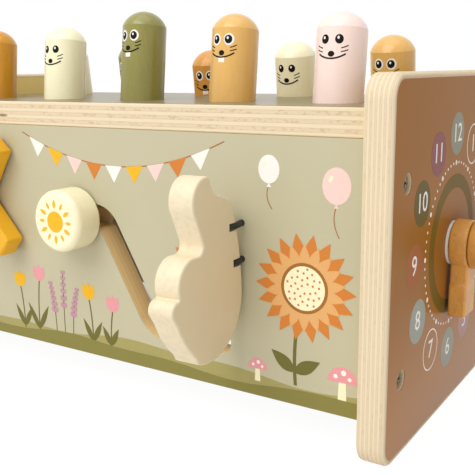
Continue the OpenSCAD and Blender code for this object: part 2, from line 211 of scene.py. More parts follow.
def ply_edge(f, across, low, high, grain_axis, plies, rough):
    """Colour and relief of a sawn plywood edge, with its plies stacked along the axis across."""
    wave = f.noise(45, long_way(grain_axis, 5.0), 2.0) * PLY_SWAY
    thickness = high[across] - low[across]
    ply = (f.xyz()[across] - low[across]) / thickness * plies + wave - PLY_SWAY / 2
    inside = ply.part()
    odd = (ply * 0.5).part() > 0.5
    fibre = f.noise(800, long_way(grain_axis, 16.0), 3.0)
    pores = f.noise(1100, long_way(grain_axis, 2.5), 2.0).step(0.5, 0.68)
    pale = f.mix(fibre * 0.7, PLY_PALE, PLY_MID)
    end_grain = f.mix(pores * rough + fibre * 0.25, PLY_MID, PLY_ROUGH)
    colour = f.mix(odd, pale, end_grain)
    line = 1 - inside.min(1 - inside).step(0.0, 0.14)
    return f.mix(line * 0.45, colour, PLY_LINE), fibre * 0.5 - odd * pores * 0.5 - line * 0.4


def bare_wood(name, pale, dark, grain_axis):
    f = Finish(name, 0.55)
    grain = f.noise(420, long_way(grain_axis), 4.0)
    bands = f.noise(105, long_way(grain_axis, 14.0), 2.0)
    f.colour(f.mix(grain * 0.6 + bands * 0.4, pale, dark))
    f.bump(grain, 0.12, 0.0003)
    return f.material


def painted_wood(name, tone, shade):
    """Satin lacquer with a fine mottle, through which a trace of the upright grain shows."""
    f = Finish(name, coat=0.8, specular=0.2)
    grain = f.noise(900, long_way(2, 9.0), 3.0)
    mottle = f.noise(1400, detail=2.0)
    patches = f.noise(55, detail=2.0)
    uneven = (grain * 0.4 + mottle * 0.25 + patches * 0.35).step(0.35, 0.72)
    f.colour(f.mix(uneven, tone, toned(tone, shade)))
    f.roughness(mottle * 0.14 + 0.34)
    f.bump(grain * 0.6 + mottle * 0.4, 0.25, 0.0002)
    return f.material


def porous_paint(name, tone):
    """Thin lacquer on open-pored wood."""
    f = Finish(name, 0.42, coat=0.15, coat_roughness=0.3)
    pores = f.noise(1500, (1.0, 1.0, 3.0), 2.0).step(0.55, 0.68)
    cloud = f.noise(120, detail=3.0)
    tint = f.mix(cloud.step(0.3, 0.7), tone, toned(tone, 0.86))
    f.colour(f.mix(pores * 0.55, tint, toned(tone, 0.55)))
    f.bump(1 - pores, 0.18, 0.0002)
    return f.material


def sprayed_paint(name, tone):
    """Sprayed lacquer with a fine orange peel."""
    f = Finish(name, coat=0.08, coat_roughness=0.4)
    peel = f.noise(1000, detail=2.0)
    f.colour(f.mix(f.cloud(35) * 0.7 + peel * 0.3, tone, toned(tone, 0.93)))
    f.roughness(peel * 0.12 + 0.44)
    f.bump(peel, 0.16, 0.0002)
    return f.material


def ink(name, tone):
    """Flat print with a trace of the ground showing through."""
    f = Finish(name, specular=0.12)
    speck = f.noise(2600, detail=1.0)
    f.colour(f.mix(speck.step(0.35, 0.75), tone, toned(tone, 0.92)))
    return f.material


def rounded_inset(flat, centre, half, radius):
    """Distance outside a round-cornered rectangle, negative inside; flat holds the two coordinates."""
    reach = [(value - middle).abs() - (size - radius)
             for value, middle, size in zip(flat, centre, half)]
    out = [value.max(0.0) for value in reach]
    corner = (out[0] * out[0] + out[1] * out[1]).root()
    return corner + reach[0].max(reach[1]).min(0.0) - radius


def end_panel_finish(name, low, high, left_paint, right_paint):
    """Plywood on edge along X, with glossy paint inside a bare rim on both faces. Towards the bottom the
    paint turns lighter, a painted reflection of the floor, and its coat grows thicker.
    """
    f = Finish(name, coat_roughness=0.14, specular=0.06)
    x, y, z = f.xyz()
    skin, bare_rim = 0.25 * MM, 2.4 * MM
    edge, relief = ply_edge(f, 0, low, high, grain_axis=2, plies=13, rough=0.4)
    centre = ((low.y + high.y) / 2, (low.z + high.z) / 2)
    half = ((high.y - low.y) / 2, (high.z - low.z) / 2)
    off_rim = rounded_inset((y, z), centre, half, END_CORNER)
    on_face = 1 - (off_rim + bare_rim).step(-0.2 * MM, 0.2 * MM)
    left = (x < low.x + skin) * on_face
    right = (x > high.x - skin) * on_face
    cloud = f.cloud(26)
    grain = f.noise(600, long_way(2, 20.0), 3.0)
    # Share that grows towards the bottom: it mixes in a lighter copy of the paint, a painted reflection of
    # the floor, and it thickens the coat
    sheen_and_painted_reflection = 1 - (z / (high.z - low.z)).step(0.0, 0.55)
    colour = edge
    for side, paint in ((left, left_paint), (right, right_paint)):
        deep = f.mix(cloud * 0.6 + grain * 0.4, paint, toned(paint, 0.9))
        # The lighter copy towards the bottom is a painted reflection of the floor
        colour = f.mix(side, colour, f.mix(sheen_and_painted_reflection * 0.5, deep, toned(paint, 1.35)))
    f.colour(colour)
    painted = left.max(right)
    f.roughness(0.62 - painted * 0.27)
    f.feed(f.shader.inputs["Coat Weight"], painted * (sheen_and_painted_reflection * 0.3 + 0.02))
    f.bump(relief * (1 - painted) + grain * painted * 0.15, 0.16, 0.0003)
    return f.material


def wall_finish(name, low, high, front, back):
    """Plywood on edge along Y. A face without paint is bare veneer."""
    f = Finish(name, coat=0.1, coat_roughness=0.35)
    y = f.xyz()[1]
    skin = 0.2 * MM
    edge, relief = ply_edge(f, 1, low, high, grain_axis=0, plies=9, rough=0.6)
    # The edges, the slot's sides among them, are tinted warm: painted warm bounce light
    edge = f.mix(0.55, edge, WARM_BOUNCE_TINT)
    out_front = y < low.y + skin
    out_back = y > high.y - skin
    veneer = f.mix(f.noise(420, long_way(0), 3.0), PLY_PALE, PLY_ROUGH)
    cloud = f.cloud(22)
    grain = f.noise(600, long_way(0, 24.0), 3.0)
    colour = edge
    for side, paint in ((out_front, front), (out_back, back)):
        tone = f.mix(cloud * 0.6 + grain * 0.4, paint, toned(paint, 0.95)) if paint else veneer
        colour = f.mix(side, colour, tone)
    f.colour(colour)
    flat = out_front.max(out_back)
    f.roughness(0.62 - flat * 0.16)
    f.bump(relief * (1 - flat) + grain * flat * 0.2, 0.2, 0.0003)
    return f.material


def board_finish(name, low, high, paint):
    """Plywood on edge along Z, with gloss paint on top and a knot in its front edge."""
    f = Finish(name, coat_roughness=0.1, specular=0.05)
    x, y, z = f.xyz()
    top_skin, under_skin = 0.15 * MM, 0.2 * MM
    knot_left, knot_up, knot_half, knot_rise = 66 * MM, 4.6 * MM, 4.2 * MM, 0.9 * MM
    edge, relief = ply_edge(f, 2, low, high, grain_axis=0, plies=7, rough=1.0)
    knot_x, knot_z = (x - MIDDLE + knot_left) / knot_half, (z - low.z - knot_up) / knot_rise
    knot = 1 - (knot_x * knot_x + knot_z * knot_z).step(0.2, 1.2)
    edge = f.mix(knot * (y < 0) * 0.75, edge, srgb(126, 86, 52))
    top = z > high.z - top_skin
    under = z < low.z + under_skin
    grain = f.noise(600, long_way(0, 24.0), 3.0)
    colour = f.mix(under, edge, f.mix(grain, PLY_PALE, PLY_ROUGH))
    f.colour(f.mix(top, colour, f.mix(f.cloud(30) * 0.7 + grain * 0.3, paint, toned(paint, 0.9))))
    f.roughness(0.62 - top * 0.34)
    f.feed(f.shader.inputs["Coat Weight"], top * 0.1)
    f.bump(relief * (1 - top) + grain * top * 0.1, 0.2, 0.0003)
    return f.material


def flap_finish(name, face, edge):
    """Cream paint with grain showing on the edges, which carry a paler copy of the cream as painted light:
    the edges stand lit and the face in shade.
    """
    f = Finish(name, coat=0.08, coat_roughness=0.4)
    x, y, _ = f.xyz()
    skin = 0.6 * MM
    c, s = math.cos(FLAP_TURN), math.sin(FLAP_TURN)
    spots = [corner.co for corner in frame["nodes"]["flap"].data.vertices]
    across = [spot.x * c + spot.y * s for spot in spots]
    depth = x * c + y * s
    on_edge = (depth > min(across) + skin) * (depth < max(across) - skin)
    grain = f.noise(420, long_way(1, 7.0), 3.0)
    peel = f.noise(1000, detail=2.0)
    painted = f.mix(f.cloud(35) * 0.6 + peel * 0.4, face, toned(face, 0.93))
    # The paler cream on the edges is painted light, and the face's cream is its shaded copy
    f.colour(f.mix(on_edge, painted, f.mix(grain.step(0.42, 0.66) * 0.7, edge, toned(edge, 0.9))))
    f.roughness(peel * 0.12 + 0.44)
    f.bump(peel * 0.5 + grain * on_edge * 0.8, 0.2, 0.0003)
    return f.material


def zinc(name):
    f = Finish(name, metallic=1.0)
    brushed = f.noise(1800, (1.0, 6.0, 1.0), 2.0)
    f.colour(f.mix(brushed, srgb(188, 186, 178), srgb(132, 130, 124)))
    f.roughness(brushed * 0.2 + 0.24)
    return f.material


def woven_cord(name):
    """Braided cover, on the cord's own UV map: u goes round it and v along it in metres."""
    f = Finish(name, 0.75)
    u, v, _ = f.xyz(f.node("ShaderNodeUVMap", {"uv_map": "braid"}))
    strand, rise = u * BRAID_STRANDS, v * BRAID_RISE
    weave = ((strand + rise) * math.pi).sine() * ((strand - rise) * math.pi).sine()
    f.colour(f.mix(weave.step(-0.5, 0.8), srgb(20, 19, 19), srgb(58, 55, 52)))
    f.bump(weave, 0.5, 0.0002)
    return f.material


def moulded(name, tone):
    f = Finish(name, 0.4)
    speck = f.noise(900, detail=2.0)
    f.colour(f.mix(speck, tone, toned(tone, 0.93)))
    f.bump(speck, 0.05, 0.0002)
    return f.material


SAGE = srgb(196, 189, 158)
SAGE_DEEP = srgb(246, 222, 150)
DIAL_BROWN = srgb(160, 104, 34)
CREAM = srgb(254, 246, 208)
BIRCH = (srgb(236, 212, 170), srgb(206, 170, 120))

bare = bare_wood("bare birch", *BIRCH, 2)
bare_across = bare_wood("bare birch along X", *BIRCH, 0)
rocker_wood = bare_wood("rocker plywood", srgb(228, 198, 150), srgb(196, 158, 108), 1)
FINISHES = {
    "right_end_panel": end_panel_finish("clock end plywood", END_LOW, END_HIGH, SAGE_DEEP, DIAL_BROWN),
    "left_end_panel": end_panel_finish("plain end plywood", FAR_LOW, FAR_HIGH, DIAL_BROWN, SAGE_DEEP),
    "front_wall": wall_finish("printed wall plywood", WALL_LOW, WALL_HIGH, SAGE, None),
    "back_wall": wall_finish("back wall plywood", BACK_LOW, BACK_HIGH, None, SAGE),
    "top_board": board_finish("top board plywood", BOARD_LOW, BOARD_HIGH, srgb(140, 128, 96)),
    "board_dowels": bare,
    "right_end_screws": zinc("zinc screws"),
    "rocker_axle": zinc("steel rod"),
    "rocker_spacers": bare_across,
    "windmill": sprayed_paint("mustard paint on sails", srgb(238, 178, 16)),
    "windmill_pivot": bare,
    "windmill_washer": moulded("white washer", srgb(238, 238, 232)),
    "slider_knob": painted_wood("cream paint on knob", CREAM, 0.92),
    "slider_sleeve": bare,
    "slider_retainer": bare,
    # The flap's face gets a shaded copy of its cream and its edges a lit one: painted light
    "flap": flap_finish("cream paint on flap", srgb(226, 211, 178), srgb(238, 222, 189)),
    "hinge_cords": woven_cord("black elastic cord"),
    "hour_hand": porous_paint("ochre paint on hands", srgb(226, 162, 76)),
    "clock_pivot": porous_paint("ochre paint on pivot", srgb(250, 202, 122)),
}
FINISHES["left_end_screws"] = FINISHES["slider_screw"] = FINISHES["right_end_screws"]
FINISHES["clock_washer"] = FINISHES["windmill_washer"]
FINISHES["minute_hand"] = FINISHES["hour_hand"]

PEG_PAINTS = {name: painted_wood(f"{name} peg paint", tone, shade) for name, tone, shade in (
    ("mustard", srgb(216, 148, 4), 0.86), ("cream", CREAM, 0.94), ("olive", srgb(146, 140, 66), 0.86),
    ("tan", srgb(232, 182, 98), 0.9), ("pink", srgb(254, 228, 218), 0.95),
    ("brown", srgb(224, 156, 62), 0.88),
)}
PEG_COLOURS = {
    "front": ("mustard", "cream", "olive", "tan", "pink"),
    "back": ("cream", "olive", "brown", "cream", "tan"),
}
for row, colours in PEG_COLOURS.items():
    for column, colour in enumerate(colours, 1):
        FINISHES[f"{row}_peg_{column}"] = PEG_PAINTS[colour]
        FINISHES[f"{row}_pin_{column}"] = bare_across
        FINISHES[f"rocker_{column}"] = rocker_wood

for name, thing in frame["nodes"].items():
    for slot in thing.material_slots:
        slot.material = FINISHES[name]


# Pieces that ride on the bench or on its moving parts

SHARP_ANGLE = math.radians(38)     # edges that turn further are shown sharp
FLAT_AREA = 150 * MM * MM          # faces as large as this are shown flat,
SQUARE = 0.9999                    # and so are those whose normals lie along an axis
FLUSH_ANGLE = math.radians(0.5)    # faces that turn less are joined before their edges are rounded
CORNER_ANGLE = math.radians(40)    # edges that turn further are rounded
WELD = 1e-6


def linked(name, data):
    made = bpy.data.objects.new(name, data)
    bpy.context.scene.collection.objects.link(made)
    return made


def piece(name, bm, materials, body, blends=False):
    """Turns a bmesh into a piece of the object, which rides on a body unless it blends."""
    bmesh.ops.recalc_face_normals(bm, faces=bm.faces)
    mesh = bpy.data.meshes.new(name)
    bm.to_mesh(mesh)
    bm.free()
    if "custom_normal" in mesh.attributes:
        mesh.attributes.remove(mesh.attributes["custom_normal"])
    mesh.set_sharp_from_angle(angle=SHARP_ANGLE)
    for face in mesh.polygons:
        face.use_smooth = face.area < FLAT_AREA and max(map(abs, face.normal)) < SQUARE
    for material in materials:
        mesh.materials.append(material)
    made = linked(name, mesh)
    if not blends:
        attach(made, body)
    return made


def merged_copy(node):
    bm = bmesh.new()
    bm.from_mesh(frame["nodes"][node].data)
    bmesh.ops.remove_doubles(bm, verts=bm.verts, dist=WELD)
    return bm


def eased(node, body, width, stays_sharp):
    """Stands for a node whose sharp outer edges are rounded over, apart from those that stay sharp."""
    bm = merged_copy(node)
    bmesh.ops.dissolve_limit(bm, angle_limit=FLUSH_ANGLE, verts=bm.verts, edges=bm.edges)
    corners = [edge for edge in bm.edges
               if edge.is_convex and edge.calc_face_angle(0.0) > CORNER_ANGLE
               and not stays_sharp((edge.verts[0].co + edge.verts[1].co) / 2)]
    bmesh.ops.bevel(bm, geom=corners, offset=width, offset_type="OFFSET", segments=4, profile=0.5,
                    affect="EDGES", clamp_overlap=False)
    made = piece(f"{node}_eased", bm, [FINISHES[node]], body)
    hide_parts(node)


def near_line(point, place, axis, reach):
    """Whether a point lies within reach of a line through place along axis 0, 1 or 2."""
    off = Vector(point) - Vector(place)
    off[axis] = 0
    return off.length < reach


def off_outline(point):
    """Whether a point on an end panel lies inside its outline, as the rims of its bores do."""
    waist = END_HIGH.z / 2
    aside = abs(point.y) - (END_HIGH.y - END_CORNER)
    upright = abs(point.z - waist) - (waist - END_CORNER)
    out = math.hypot(max(aside, 0), max(upright, 0)) + min(max(aside, upright), 0) - END_CORNER
    return out < -0.5 * MM


FLAP_HINGE = Vector(JOINTS["flap_swing"]["pos_m"])
# The cords, in millimetres: how far each runs out from the hinge line, and its height
CORDS = ((10.5, 93.0), (7.5, 77.0))
CORD_R = 1.4
CORD_SEAT = 9.9       # how far behind the hinge line the cords begin, inside the wall
CORD_EXTRA = 0.2      # how far they run on past their reach
CORD_BOW = 1.1
CORD_STEPS = 24
CORD_SIDES = 16
SLOT_REACH = 11.3 * MM    # the flap's slots for the cords lie this near to the hinge line
SLOT_HALF = 1.8 * MM      # and to the height of a cord
BORE_REACH = 5 * MM       # the bores of the windmill and the hands lie this near to their axes


def by_hinge(ahead, aside, height):
    """A spot by the flap's hinge line: ahead of it, to its right and above the floor, in millimetres."""
    return Vector((FLAP_HINGE.x + aside * MM, FLAP_HINGE.y - ahead * MM, height * MM))


def cord_slot(point):
    """Whether a point lies on the rim of one of the flap's slots."""
    near = (Vector(point) - FLAP_HINGE).xy.length < SLOT_REACH
    return near and any(abs(point.z - height * MM) < SLOT_HALF for _, height in CORDS)


def ease_edges():
    windmill, clock = JOINTS["windmill_spin"]["pos_m"], JOINTS["hour_hand_turn"]["pos_m"]
    for node in ("right_end_panel", "left_end_panel"):
        eased(node, "bench", 1.7 * MM, off_outline)
    eased("flap", "flap", 0.9 * MM, cord_slot)
    eased("windmill", "windmill", 1.3 * MM, lambda point: near_line(point, windmill, 1, BORE_REACH))
    for node in ("hour_hand", "minute_hand"):
        eased(node, node, 1.0 * MM, lambda point: near_line(point, clock, 0, BORE_REACH))
    board_rim = BOARD_HIGH.y - 0.5 * MM
    eased("top_board", "bench", 0.8 * MM, lambda point: abs(point.y) < board_rim)


def tube(bm, path, radius, sides):
    """Closed tube along level points, with a UV map for its braid."""
    braid = bm.loops.layers.uv.get("braid") or bm.loops.layers.uv.new("braid")
    around = [2 * math.pi * j / sides for j in range(sides)]
    rings, run = [], [0.0]
    for k, point in enumerate(path):
        ahead = (path[min(k + 1, len(path) - 1)] - path[max(k - 1, 0)]).normalized()
        aside = ahead.cross(Vector((0, 0, 1)))
        rings.append([bm.verts.new(point + (aside * math.cos(t) + Vector((0, 0, math.sin(t)))) * radius)
                      for t in around])
        if k:
            run.append(run[-1] + (point - path[k - 1]).length)
    for k in range(len(path) - 1):
        for j in range(sides):
            i = (j + 1) % sides
            face = bm.faces.new((rings[k][j], rings[k][i], rings[k + 1][i], rings[k + 1][j]))
            spots = ((j, k), (j + 1, k), (j + 1, k + 1), (j, k + 1))
            for loop, (a, b) in zip(face.loops, spots):
                loop[braid].uv = (a / sides, run[b])
    bm.faces.new(rings[0])
    bm.faces.new(list(reversed(rings[-1])))


def hinge_cords():
    """Two braided cords that come out of the wall and lie along the flap, a little proud of its slots."""
    bm = bmesh.new()
    for reach, height in CORDS:
        path = []
        for k in range(CORD_STEPS + 1):
            ahead = -CORD_SEAT + (CORD_SEAT + reach + CORD_EXTRA) * k / CORD_STEPS
            bow = CORD_BOW * math.sin(math.pi * min(max(ahead / reach, 0.0), 1.0))
            path.append(by_hinge(ahead, bow, height))
        tube(bm, path, CORD_R * MM, CORD_SIDES)
    made = piece("hinge_cord_pair", bm, [FINISHES["hinge_cords"]], "bench", blends=True)
    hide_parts("hinge_cords")
    by_hinge(-1.5, 0, 85)
    by_hinge(5, 0, 85)
    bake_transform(made)


# Flat shapes, as points in millimetres

LEAF_STEPS = 12
LEAF_SKEW = 0.8       # below 1, a leaf is widest nearer to its stalk
RING_STEPS = 72


def turned(points, x, y, turn):
    """Points turned about their origin, which is laid on (x, y)."""
    c, s = math.cos(turn), math.sin(turn)
    return [(x + c * a - s * b, y + s * a + c * b) for a, b in points]


def disc(x, y, rx, ry=None, turn=0.0, steps=36):
    ry = rx if ry is None else ry
    ring = [(rx * math.cos(2 * math.pi * k / steps), ry * math.sin(2 * math.pi * k / steps))
            for k in range(steps)]
    return turned(ring, x, y, turn)


def leaf(x, y, length, width, turn):
    """Pointed leaf from its stalk at (x, y)."""
    shares = [k / LEAF_STEPS for k in range(LEAF_STEPS + 1)]
    edge = [(length * t, width / 2 * math.sin(math.pi * t ** LEAF_SKEW)) for t in shares]
    return turned(edge + [(a, -b) for a, b in reversed(edge[1:-1])], x, y, turn)


def stroke(points, width):
    """Left and right sides of a line of that width through the points."""
    left, right = [], []
    for k, (x, y) in enumerate(points):
        ax, ay = points[max(k - 1, 0)]
        bx, by = points[min(k + 1, len(points) - 1)]
        length = math.hypot(bx - ax, by - ay)
        nx, ny = -(by - ay) / length * width / 2, (bx - ax) / length * width / 2
        left.append((x + nx, y + ny))
        right.append((x - nx, y - ny))
    return left, right


def curve(start, bend, end, steps=14):
    """Points on a quadratic curve."""
    found = []
    for k in range(steps + 1):
        t = k / steps
        found.append(tuple((1 - t) ** 2 * a + 2 * t * (1 - t) * b + t * t * c
                           for a, b, c in zip(start, bend, end)))
    return found


def circle_sides(x, y, r, width):
    """Outer and inner side of a ring."""
    around = [2 * math.pi * k / RING_STEPS for k in range(RING_STEPS)]
    return [[(x + side * math.cos(t), y + side * math.sin(t)) for t in around]
            for side in (r + width / 2, r - width / 2)]


class Print:
    """One printed layer: closed, hair-thin solids laid on a surface."""

    def __init__(self, name, place):
        self.name, self.place = name, place
        self.bm = bmesh.new()
        self.inks = []

    def solid(self, flat, faces, rims, layer, material):
        """Closes a flat mesh into a thin solid between the surface and its layer's height."""
        if material not in self.inks:
            self.inks.append(material)
        top = [self.bm.verts.new(self.place(x * MM, y * MM, INK + layer * LAYER)) for x, y in flat]
        low = [self.bm.verts.new(self.place(x * MM, y * MM, -SINK)) for x, y in flat]
        made = []
        for face in faces:
            made.append(self.bm.faces.new([top[k] for k in face]))
            made.append(self.bm.faces.new([low[k] for k in reversed(face)]))
        for rim in rims:
            for a, b in zip(rim, rim[1:] + rim[:1]):
                made.append(self.bm.faces.new([low[a], low[b], top[b], top[a]]))
        for face in made:
            face.material_index = self.inks.index(material)

    def fill(self, outline, material, layer=0, rings=1):
        """Shape that its own middle can see all of."""
        count = len(outline)
        cx = sum(x for x, y in outline) / count
        cy = sum(y for x, y in outline) / count
        flat = [(cx, cy)]
        for ring in range(1, rings + 1):
            share = ring / rings
            flat += [(cx + (x - cx) * share, cy + (y - cy) * share) for x, y in outline]
        faces = [(0, 1 + k, 1 + (k + 1) % count) for k in range(count)]
        for ring in range(1, rings):
            a, b = 1 + (ring - 1) * count, 1 + ring * count
            faces += [(a + k, b + k, b + (k + 1) % count, a + (k + 1) % count) for k in range(count)]
        rim = [1 + (rings - 1) * count + k for k in range(count)]
        self.solid(flat, faces, [rim], layer, material)

    def band(self, sides, material, layer=0):
        """Shape between two open lines of as many points."""
        left, right = sides
        count = len(left)
        faces = [(k, count + k, count + k + 1, k + 1) for k in range(count - 1)]
        rim = list(range(count, 2 * count)) + list(range(count - 1, -1, -1))
        self.solid(list(left) + list(right), faces, [rim], layer, material)

    def ring(self, sides, material, layer=0):
        """Shape between two closed lines of as many points."""
        outer, inner = sides
        count = len(outer)
        faces = [(k, (k + 1) % count, count + (k + 1) % count, count + k) for k in range(count)]
        rims = [list(range(count)), list(range(2 * count - 1, count - 1, -1))]
        self.solid(list(outer) + list(inner), faces, rims, layer, material)

    def line(self, points, width, material, layer=0):
        self.band(stroke(points, width), material, layer)

    def done(self, body):
        piece(self.name, self.bm, self.inks, body)


def front_place(x, y, lift):
    return Vector((MIDDLE + x, WALL_LOW.y - lift, y))


def dial_place(x, y, lift):
    return Vector((END_HIGH.x + lift, x, y))


INKS = {name: ink(f"{name} print", tone) for name, tone in {
    "ground": srgb(142, 134, 74), "pale ground": srgb(172, 162, 104), "stem": srgb(116, 112, 58),
    "white": srgb(250, 246, 238), "rose": srgb(236, 160, 166), "mauve": srgb(196, 150, 164),
    "pink": srgb(246, 214, 206), "orange": srgb(216, 134, 62), "apricot": srgb(232, 178, 116),
    "yellow": srgb(246, 188, 44), "black": srgb(22, 20, 20), "brown": srgb(168, 112, 52),
    "cream": CREAM, "olive ring": srgb(116, 92, 22),
}.items()}


# Printed front, in millimetres from the wall's middle and the floor

HILL_HALF = 140       # the hills run this far to both sides
HILL_STEP = 4
HILL_FOOT = 15.2
HILL_WAVES = (27, 11)
FLAG_POINTS = 5       # points of the bunting's string from one flag to the next
FLAG_DROP = 8.0
BUDS_FROM, STEM_STEPS = 8, 18
PETALS = 18
SEEDS = 33
GOLDEN_TURN = 2.39996


def hill(base, swell, phase):
    """Top line of a rolling hill along the wall's foot, and its foot."""
    long_wave, short_wave = HILL_WAVES
    points = []
    for x in range(-HILL_HALF, HILL_HALF + 1, HILL_STEP):
        rise = math.sin(x / long_wave + phase) + 0.5 * math.sin(x / short_wave + 2 * phase)
        points.append((x, base + swell * rise))
    return points, [(x, HILL_FOOT) for x, _ in points]


def tulip(art, x, foot, height, lean, cup):
    top = (x + lean, foot + height)
    art.line(curve((x, foot), (x, foot + height * 0.6), top), 0.8, INKS["stem"], 1)
    for side in (-1, 1):
        blade = leaf(x, foot + 1, height * 0.55, 3.2, math.pi / 2 - side * 0.5)
        art.fill(blade, INKS["stem"], 2.5 + 0.5 * side)
    for layer, turn in enumerate((-0.42, 0.42, 0.0), 2):
        art.fill(leaf(top[0], top[1] - 1, 9, 4.6, math.pi / 2 + turn), INKS[cup], layer)


def lavender(art, x, foot, height, lean):
    """Stem with buds in pairs towards its top."""
    line = curve((x, foot), (x, foot + height * 0.6), (x + lean, foot + height), STEM_STEPS)
    art.line(line, 0.55, INKS["stem"], 1)
    for k in range(BUDS_FROM, STEM_STEPS + 1, 2):
        size = 1.25 - 0.04 * (k - BUDS_FROM)
        for side in (-1, 1):
            bud = disc(line[k][0] + side * size * 0.85, line[k][1], size, size * 1.25, side * -0.5, 14)
            art.fill(bud, INKS["mauve"], 2 + k % 4 + (side > 0))


def toadstool(art, x, foot, size):
    art.band(([(x - size * 0.18, foot), (x - size * 0.13, foot + size)],
              [(x + size * 0.18, foot), (x + size * 0.13, foot + size)]), INKS["cream"], 1)
    cap_foot, cap_r, steps = 0.72, 0.62, 20
    turns = [math.pi * k / steps for k in range(steps + 1)]
    cap = [(x + size * cap_r * math.cos(t), foot + size * (cap_foot + cap_r * math.sin(t))) for t in turns]
    art.fill(cap, INKS["rose"], 2)
    for dx, dy, r in ((-0.28, 0.22, 0.09), (0.05, 0.4, 0.11), (0.3, 0.18, 0.08)):
        spot = disc(x + dx * size, foot + size * (cap_foot + dy), r * size, steps=16)
        art.fill(spot, INKS["white"], 3)


def bunting(art, start, sag, end, count):
    """String of little flags across the top of the wall."""
    line = curve(start, sag, end, count * FLAG_POINTS + 4)
    art.line(line, 0.5, INKS["brown"], 1)
    flags = ("white", "yellow", "pink", "orange")
    for number in range(count):
        first = number * FLAG_POINTS + 2
        (ax, ay), (bx, by) = line[first], line[first + FLAG_POINTS - 1]
        tip = ((ax + bx) / 2, (ay + by) / 2 - FLAG_DROP)
        art.fill([(ax, ay + 0.1), tip, (bx, by + 0.1)], INKS[flags[number % len(flags)]], 2)


def balloon(art, x, y, size, tone):
    knot = y - size
    string = curve((x, knot - 1), (x - 2.5, knot - size * 0.9), (x + 1.5, knot - size * 1.8))
    art.line(string, 0.4, INKS["brown"], 1)
    art.fill([(x, knot + 0.3), (x - 1.1, knot - 1.5), (x + 1.1, knot - 1.5)], INKS[tone], 2)
    art.fill(disc(x, y, size * 0.84, size), INKS[tone], 3)
    art.fill(disc(x - size * 0.34, y + size * 0.36, size * 0.11, size * 0.2, -0.5, 16), INKS["cream"], 4)


def kite(art, x, y):
    art.fill([(x, y + 10), (x - 6.5, y + 1), (x, y - 9), (x + 6.5, y + 1)], INKS["pink"], 2)
    art.fill([(x, y + 10), (x + 6.5, y + 1), (x, y + 1)], INKS["white"], 3)
    art.fill([(x, y - 9), (x - 6.5, y + 1), (x, y + 1)], INKS["apricot"], 4)
    tail = curve((x, y - 9), (x - 7, y - 15), (x + 3, y - 20))
    tail += curve((x + 3, y - 20), (x + 9, y - 23), (x + 4, y - 27))[1:]
    art.line(tail, 0.5, INKS["brown"], 1)
    for k in (6, 14, 22):
        for layer, turn in ((2, math.pi - 0.6), (3, 0.6)):
            art.fill(leaf(*tail[k], 3.4, 2.2, turn), INKS["orange"], layer)


def sunflower(art, x, y, foot):
    art.line(curve((x - 4, foot), (x - 6, (foot + y) / 2), (x, y)), 1.6, INKS["stem"], 1)
    for layer, turn in enumerate((0.5, 2.5), 2):
        art.fill(leaf(x - 4.6, foot + 6, 14, 6.0, turn), INKS["stem"], layer)
    rows = ((9, 14.5, 6.0, "orange"), (8, 11, 4.8, "apricot"))
    for ring, (start, length, width, tone) in enumerate(rows):
        for k in range(PETALS):
            turn = 2 * math.pi * (k + ring * 0.5) / PETALS
            spot = (x + start * math.cos(turn), y + start * math.sin(turn))
            art.fill(leaf(*spot, length, width, turn), INKS[tone], 4 + 2 * ring + k % 2)
    art.fill(disc(x, y, 11), INKS["brown"], 8)
    art.fill(disc(x, y, 9.6), INKS["cream"], 9)
    for k in range(1, SEEDS + 1):
        turn, r = k * GOLDEN_TURN, 1.5 * math.sqrt(k)
        seed = disc(x + r * math.cos(turn), y + r * math.sin(turn), 0.55, steps=8)
        art.fill(seed, INKS["orange"], 10)


def front_art():
    art = Print("front_print", front_place)
    art.band(hill(25.5, 1.8, 0.4), INKS["pale ground"], 0)
    art.band(hill(21.5, 1.5, 2.1), INKS["ground"], 5)
    bunting(art, (-52, 127.5), (10, 99), (72, 127.5), 9)
    kite(art, 50, 90)
    sunflower(art, 111, 68, 24)
    for x, height, lean, cup in ((-60, 24, -2, "yellow"), (-49, 29, 2, "rose"),
                                 (-10, 24, -2, "yellow"), (2, 20, 2, "rose")):
        tulip(art, x, 21, height, lean, cup)
    for x, height, lean in ((-36, 28, -3), (-30, 35, 0.5), (-24, 27, 4)):
        lavender(art, x, 21, height, lean)
    for x, size in ((-102, 15), (-86, 9), (88, 8), (129, 11)):
        toadstool(art, x, 22, size)
    for x, y, size, tone in ((94, 117, 6, "white"), (125, 112, 7.5, "pink"), (-126, 112, 7, "white")):
        balloon(art, x, y, size, tone)
    art.done("bench")


# Clock dial, in millimetres from the panel's middle and the floor

PRINT_Y = 0.6         # middle of the print, a little off the hands' axis
PRINT_Z = JOINTS["hour_hand_turn"]["pos_m"][2] / MM - 0.7
NUMBER_R = 49.9
NUMBER_SIZE = 12.4
NUMBER_STRETCH = Matrix.Diagonal((1.04, 0.94, 1, 1))
DISC_R = 9.5
# From 1 to 12; the numbers without a disc have an open ring
DISC_TONES = (None, srgb(204, 160, 92), srgb(140, 144, 128), srgb(164, 170, 134), srgb(190, 152, 146),
              srgb(166, 166, 152), None, srgb(164, 168, 156), srgb(170, 102, 58), srgb(108, 90, 40),
              srgb(146, 92, 90), srgb(150, 148, 130))
OPEN_RING_WIDTH = 0.6
MINUTE_R = 37.0
MINUTE_DOT_R = 0.62
BAND_R = 28.8         # olive band inside the minutes
BAND_WIDTH = 6.3


